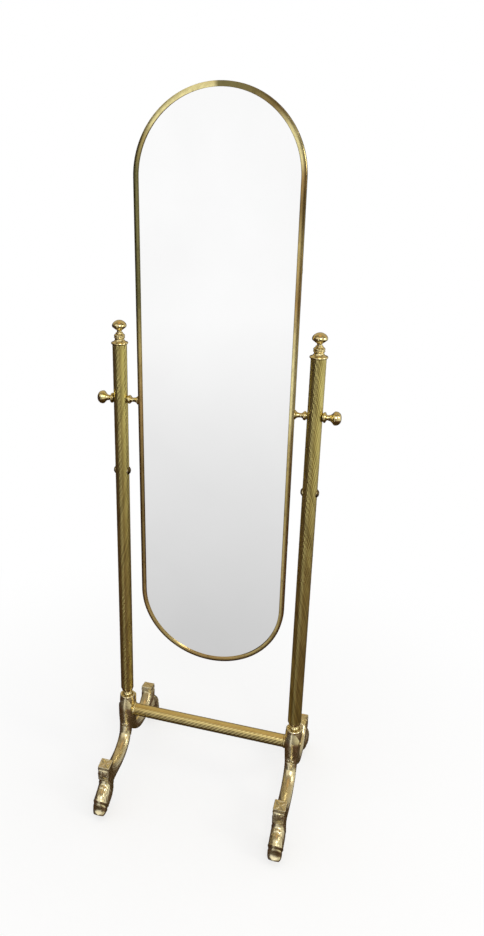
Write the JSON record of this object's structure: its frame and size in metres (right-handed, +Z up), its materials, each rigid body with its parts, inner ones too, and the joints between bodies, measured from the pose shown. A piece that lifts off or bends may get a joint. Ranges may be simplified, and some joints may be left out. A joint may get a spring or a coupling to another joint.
{
  "type": "cheval floor mirror",
  "caption": "Brass cheval floor mirror: a tall round-ended glass in a slim band, tilting between tubular posts with turned finials, clamp knobs and arched cast legs.",
  "frame": {"origin": "middle of the footprint, on the floor under the stretcher", "axes": "+X to the right of someone facing the glass, +Y to the back, +Z up; the glass faces -Y"},
  "size_m": [0.5348, 0.438, 1.6407],
  "materials": {
    "post_brass": "aged polished tube with faint spiral reeding",
    "rope_brass": "polished tube, tight rope twist",
    "cast_brass": "aged cast, darker in the hollows",
    "turned_brass": "polished turnings",
    "band_brass": "polished flat band with age spots",
    "plug_black": "glossy black-brown",
    "silvered_glass": "silvered plate glass",
    "hardboard": "smooth brown board",
    "steel": "plain zinc"
  },
  "bodies": {
    "stand": {"left_post": "post_brass", "left_finial": "turned_brass", "left_post_ferrule": "turned_brass", "left_foot_hub": "cast_brass", "left_post_left_plug": "plug_black", "left_post_right_plug": "plug_black", "left_front_leg": "cast_brass", "left_front_leg_screw": "steel", "left_front_pad": "turned_brass", "left_back_leg": "cast_brass", "left_back_leg_screw": "steel", "left_back_pad": "turned_brass", "right_post": "post_brass", "right_finial": "turned_brass", "right_post_ferrule": "turned_brass", "right_foot_hub": "cast_brass", "right_post_left_plug": "plug_black", "right_post_right_plug": "plug_black", "right_front_leg": "cast_brass", "right_front_leg_screw": "steel", "right_front_pad": "turned_brass", "right_back_leg": "cast_brass", "right_back_leg_screw": "steel", "right_back_pad": "turned_brass", "stretcher_tube": "rope_brass", "stretcher_left_collar": "turned_brass", "stretcher_left_bolt": "turned_brass", "stretcher_right_collar": "turned_brass", "stretcher_right_bolt": "turned_brass"},
    "mirror": {"mirror_band": "band_brass", "mirror_glass": "silvered_glass", "mirror_backing": "hardboard", "top_clip": "band_brass", "top_clip_screw": "steel", "bottom_clip": "band_brass", "bottom_clip_screw": "steel", "left_upper_clip": "band_brass", "left_upper_clip_screw": "steel", "left_lower_clip": "band_brass", "left_lower_clip_screw": "steel", "right_upper_clip": "band_brass", "right_upper_clip_screw": "steel", "right_lower_clip": "band_brass", "right_lower_clip_screw": "steel", "left_pivot_stud": "steel", "left_pivot_spacer": "turned_brass", "right_pivot_stud": "steel", "right_pivot_spacer": "turned_brass"},
    "left_washer": {"left_knob_washer": "turned_brass"},
    "left_knob": {"left_clamp_knob": "turned_brass"},
    "right_washer": {"right_knob_washer": "turned_brass"},
    "right_knob": {"right_clamp_knob": "turned_brass"}
  },
  "joints": [
    {"name": "mirror_tilt", "type": "hinge", "parent": "stand", "child": "mirror", "pos_m": [0, 0, 1.003], "axis": [1, 0, 0], "continuous": true},
    {"name": "left_knob_travel", "type": "slide", "parent": "mirror", "child": "left_washer", "axis": [-1, 0, 0], "range_m": [0, 0.002]},
    {"name": "left_knob_turn", "type": "hinge", "parent": "left_washer", "child": "left_knob", "pos_m": [-0.24, 0, 1.003], "axis": [-1, 0, 0], "range_deg": [0, 720]},
    {"name": "right_knob_travel", "type": "slide", "parent": "mirror", "child": "right_washer", "axis": [1, 0, 0], "range_m": [0, 0.002]},
    {"name": "right_knob_turn", "type": "hinge", "parent": "right_washer", "child": "right_knob", "pos_m": [0.24, 0, 1.003], "axis": [1, 0, 0], "range_deg": [0, 720]}
  ],
  "couplings": [
    {"joint": "left_knob_turn", "follows": "left_knob_travel", "rad_per_m": 6283.2},
    {"joint": "right_knob_turn", "follows": "right_knob_travel", "rad_per_m": 6283.2}
  ]
}
